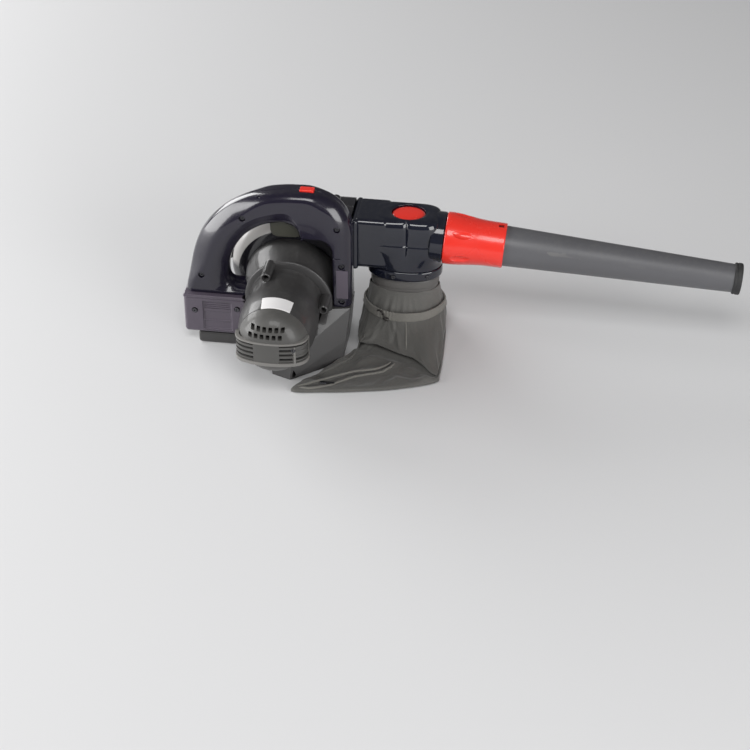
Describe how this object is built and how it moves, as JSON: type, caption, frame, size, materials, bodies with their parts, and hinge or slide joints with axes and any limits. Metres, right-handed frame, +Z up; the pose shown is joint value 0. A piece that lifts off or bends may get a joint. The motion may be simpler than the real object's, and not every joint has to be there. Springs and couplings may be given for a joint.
{
  "type": "leaf blower vacuum",
  "caption": "Cordless handheld leaf blower vacuum: D handle, side motor, scroll fan, tee duct with tapered blow tube, and a fabric collection bag under the duct.",
  "frame": {"origin": "on the ground under the motor shaft, in the split plane of the handle, on the flat underside of the foot", "axes": "+Z up, +X along the duct towards the nozzle, +Y along the motor shaft from the motor towards the fan's intake"},
  "size_m": [0.7447, 0.27, 0.2402],
  "materials": {
    "navy_shell": "glossy dark navy",
    "black_plastic": "satin black",
    "red_plastic": "glossy red",
    "tube_grey": "fine matt grey",
    "black_rubber": "matt rubber",
    "bag_fabric": "woven nylon",
    "dark_steel": "blackened steel",
    "copper": "varnished windings",
    "nylon": "natural nylon"
  },
  "bodies": {
    "body": {"handle_front": "navy_shell", "handle_rear": "navy_shell", "handle_screw_1": "dark_steel", "handle_screw_2": "dark_steel", "handle_screw_3": "dark_steel", "handle_screw_4": "dark_steel", "handle_screw_5": "dark_steel", "switch_unit": "black_plastic", "motor_housing": "black_plastic", "tower_screw_1": "dark_steel", "tower_screw_2": "dark_steel", "tower_screw_3": "dark_steel", "motor_end_cap": "black_plastic", "cap_screw": "dark_steel", "motor_mount_front": "black_plastic", "motor_mount_rear": "black_plastic", "stator": "dark_steel", "bearing_front": "dark_steel", "bearing_rear": "dark_steel", "scroll_front": "black_plastic", "scroll_back": "black_plastic", "scroll_screw_1": "dark_steel", "scroll_screw_2": "dark_steel", "scroll_screw_3": "dark_steel", "scroll_screw_4": "dark_steel", "duct_body": "navy_shell", "duct_ring": "navy_shell", "ring_screw_1": "dark_steel", "ring_screw_2": "dark_steel", "ring_screw_3": "dark_steel", "bag_spigot": "black_plastic", "bag_neck": "bag_fabric", "bag_body": "bag_fabric", "battery_dock": "navy_shell", "dock_screw_1": "dark_steel", "dock_screw_2": "dark_steel", "terminal_block": "black_plastic", "base_foot": "black_plastic"},
    "fan": {"rotor_core": "copper", "rotor_shaft": "dark_steel", "impeller": "nylon", "impeller_nut": "dark_steel"},
    "trigger": {"trigger": "black_plastic"},
    "lock_button": {"lock_button": "red_plastic"},
    "duct_button": {"duct_button": "red_plastic"},
    "battery": {"battery_pack": "black_plastic"},
    "battery_latch": {"battery_latch": "black_rubber"},
    "tube": {"tube_collar": "red_plastic", "blow_tube": "tube_grey", "nozzle_ring": "black_rubber"},
    "snap_button": {"snap_button": "black_rubber"},
    "intake_guard": {"intake_guard": "black_plastic"}
  },
  "joints": [
    {"name": "fan_spin", "type": "hinge", "parent": "body", "child": "fan", "pos_m": [0, 0, 0.084], "axis": [0, 1, 0], "continuous": true},
    {"name": "trigger_pull", "type": "hinge", "parent": "body", "child": "trigger", "pos_m": [0.012, 0, 0.196], "axis": [0, 1, 0], "range_deg": [0, 8], "stiffness_Nm_per_rad": 0.3, "springref_deg": -11.46},
    {"name": "lock_button_press", "type": "slide", "parent": "body", "child": "lock_button", "axis": [0, 0, -1], "range_m": [0, 0.0025], "stiffness_N_per_m": 300, "springref_m": -0.003},
    {"name": "duct_button_press", "type": "slide", "parent": "body", "child": "duct_button", "axis": [0, 0, -1], "range_m": [0, 0.003], "stiffness_N_per_m": 400, "springref_m": -0.003},
    {"name": "battery_slide", "type": "slide", "parent": "body", "child": "battery", "axis": [0, 0, -1], "range_m": [0, 0.055]},
    {"name": "battery_latch_press", "type": "slide", "parent": "battery", "child": "battery_latch", "axis": [1, 0, 0], "range_m": [0, 0.002], "stiffness_N_per_m": 500, "springref_m": -0.002},
    {"name": "collar_turn", "type": "hinge", "parent": "body", "child": "tube", "pos_m": [0.198, 0.05365, 0.148], "axis": [0.9969, 0, -0.0785], "range_deg": [0, 30]},
    {"name": "snap_button_press", "type": "slide", "parent": "tube", "child": "snap_button", "axis": [-0.0785, 0, -0.9969], "range_m": [0, 0.0015], "stiffness_N_per_m": 300, "springref_m": -0.002},
    {"name": "intake_guard_turn", "type": "hinge", "parent": "body", "child": "intake_guard", "pos_m": [0, 0.0904, 0.084], "axis": [0, 1, 0], "range_deg": [0, 30]}
  ]
}
